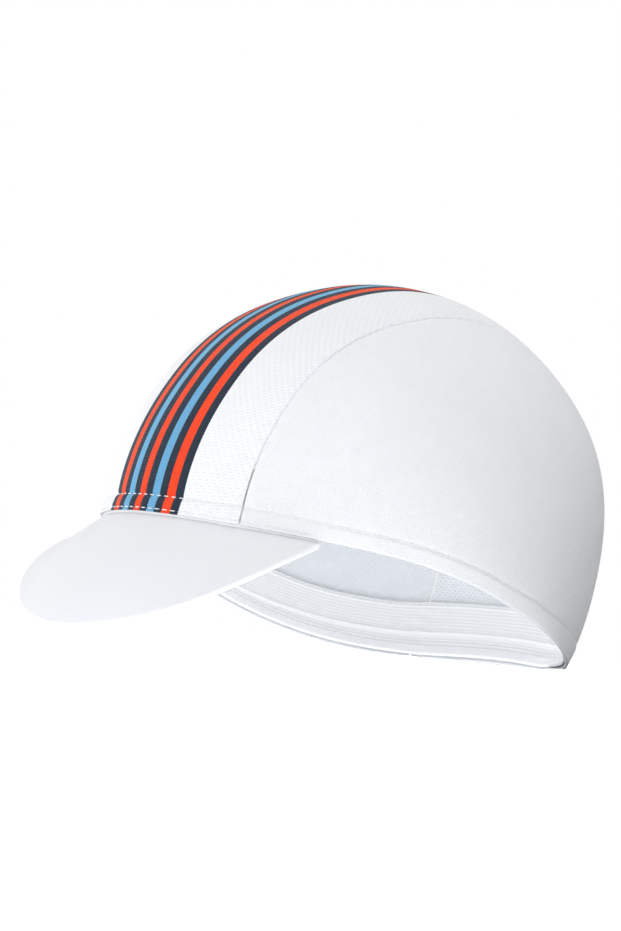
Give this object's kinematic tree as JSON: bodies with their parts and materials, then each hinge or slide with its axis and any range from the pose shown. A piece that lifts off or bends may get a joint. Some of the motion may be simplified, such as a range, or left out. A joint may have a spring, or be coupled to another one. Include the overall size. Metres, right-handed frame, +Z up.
{
  "type": "cycling cap",
  "caption": "Soft knit cycling cap with a centre panel, side panels, a ribbed sweatband inside and a short curved peak in front.",
  "frame": {"origin": "Centre of the surface that the cap stands on, under the middle of its length and width.", "axes": "+Z up, -Y towards the tip of the peak, +X towards the wearer's left. The cap stands on the tip of its peak and on the hem at both sides of the nape."},
  "size_m": [0.1654, 0.2374, 0.1336],
  "materials": {
    "crown_knit": "matt polyester knit",
    "ribbed_band": "matt elastic rib",
    "peak_cloth": "smooth matt cloth"
  },
  "bodies": {
    "root": {"centre_panel": "crown_knit", "left_side_panel": "crown_knit", "right_side_panel": "crown_knit", "sweatband": "ribbed_band", "peak": "peak_cloth"}
  },
  "joints": []
}
